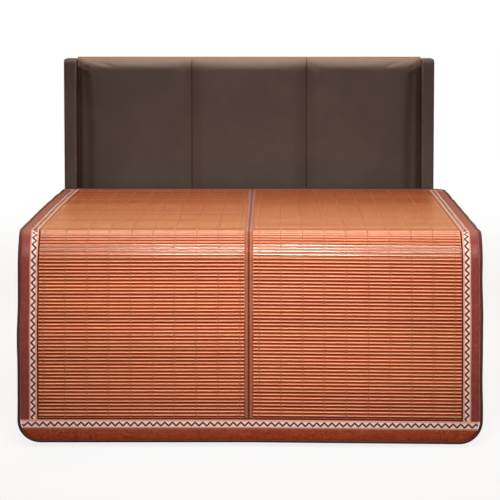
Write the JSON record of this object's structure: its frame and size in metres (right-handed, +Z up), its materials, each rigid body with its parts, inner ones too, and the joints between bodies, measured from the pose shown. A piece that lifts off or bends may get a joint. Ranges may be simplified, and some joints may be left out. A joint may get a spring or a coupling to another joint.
{
  "type": "bamboo mat on a bed",
  "caption": "Bamboo slat sleeping mat with zigzag ribbon and brocade border, laid on a double bed with a padded headboard and falling over its foot end.",
  "frame": {"origin": "middle of the bounding box's underside, on the floor under the bed", "axes": "+Z up, +Y from the foot of the bed to its headboard, +X to the right seen from the foot"},
  "size_m": [1.5022, 2.0663, 1.209],
  "materials": {
    "bamboo": "glossy lacquered carbonised bamboo",
    "hinge_cloth": "satin cloth",
    "dark_binding": "matt cloth",
    "zigzag_ribbon": "woven ribbon",
    "brocade": "satin brocade",
    "mattress_cloth": "knitted cover",
    "leather": "semi-matt leather",
    "dark_board": "dark stained board"
  },
  "bodies": {
    "root": {"bed_base": "leather", "border_foot": "brocade", "border_head": "brocade", "border_left": "brocade", "border_right": "brocade", "edge_binding": "dark_binding", "headboard_back": "dark_board", "headboard_panel_centre": "leather", "headboard_panel_left": "leather", "headboard_panel_right": "leather", "headboard_wing_left": "leather", "headboard_wing_right": "leather", "hinge_strip_left": "hinge_cloth", "hinge_strip_right": "hinge_cloth", "mattress": "mattress_cloth", "piping_foot": "dark_binding", "piping_head": "dark_binding", "piping_left": "dark_binding", "piping_right": "dark_binding", "plinth": "dark_board", "ribbon_foot": "zigzag_ribbon", "ribbon_head": "zigzag_ribbon", "ribbon_left": "zigzag_ribbon", "ribbon_right": "zigzag_ribbon", "slat_field_left": "bamboo", "slat_field_right": "bamboo"}
  },
  "joints": []
}
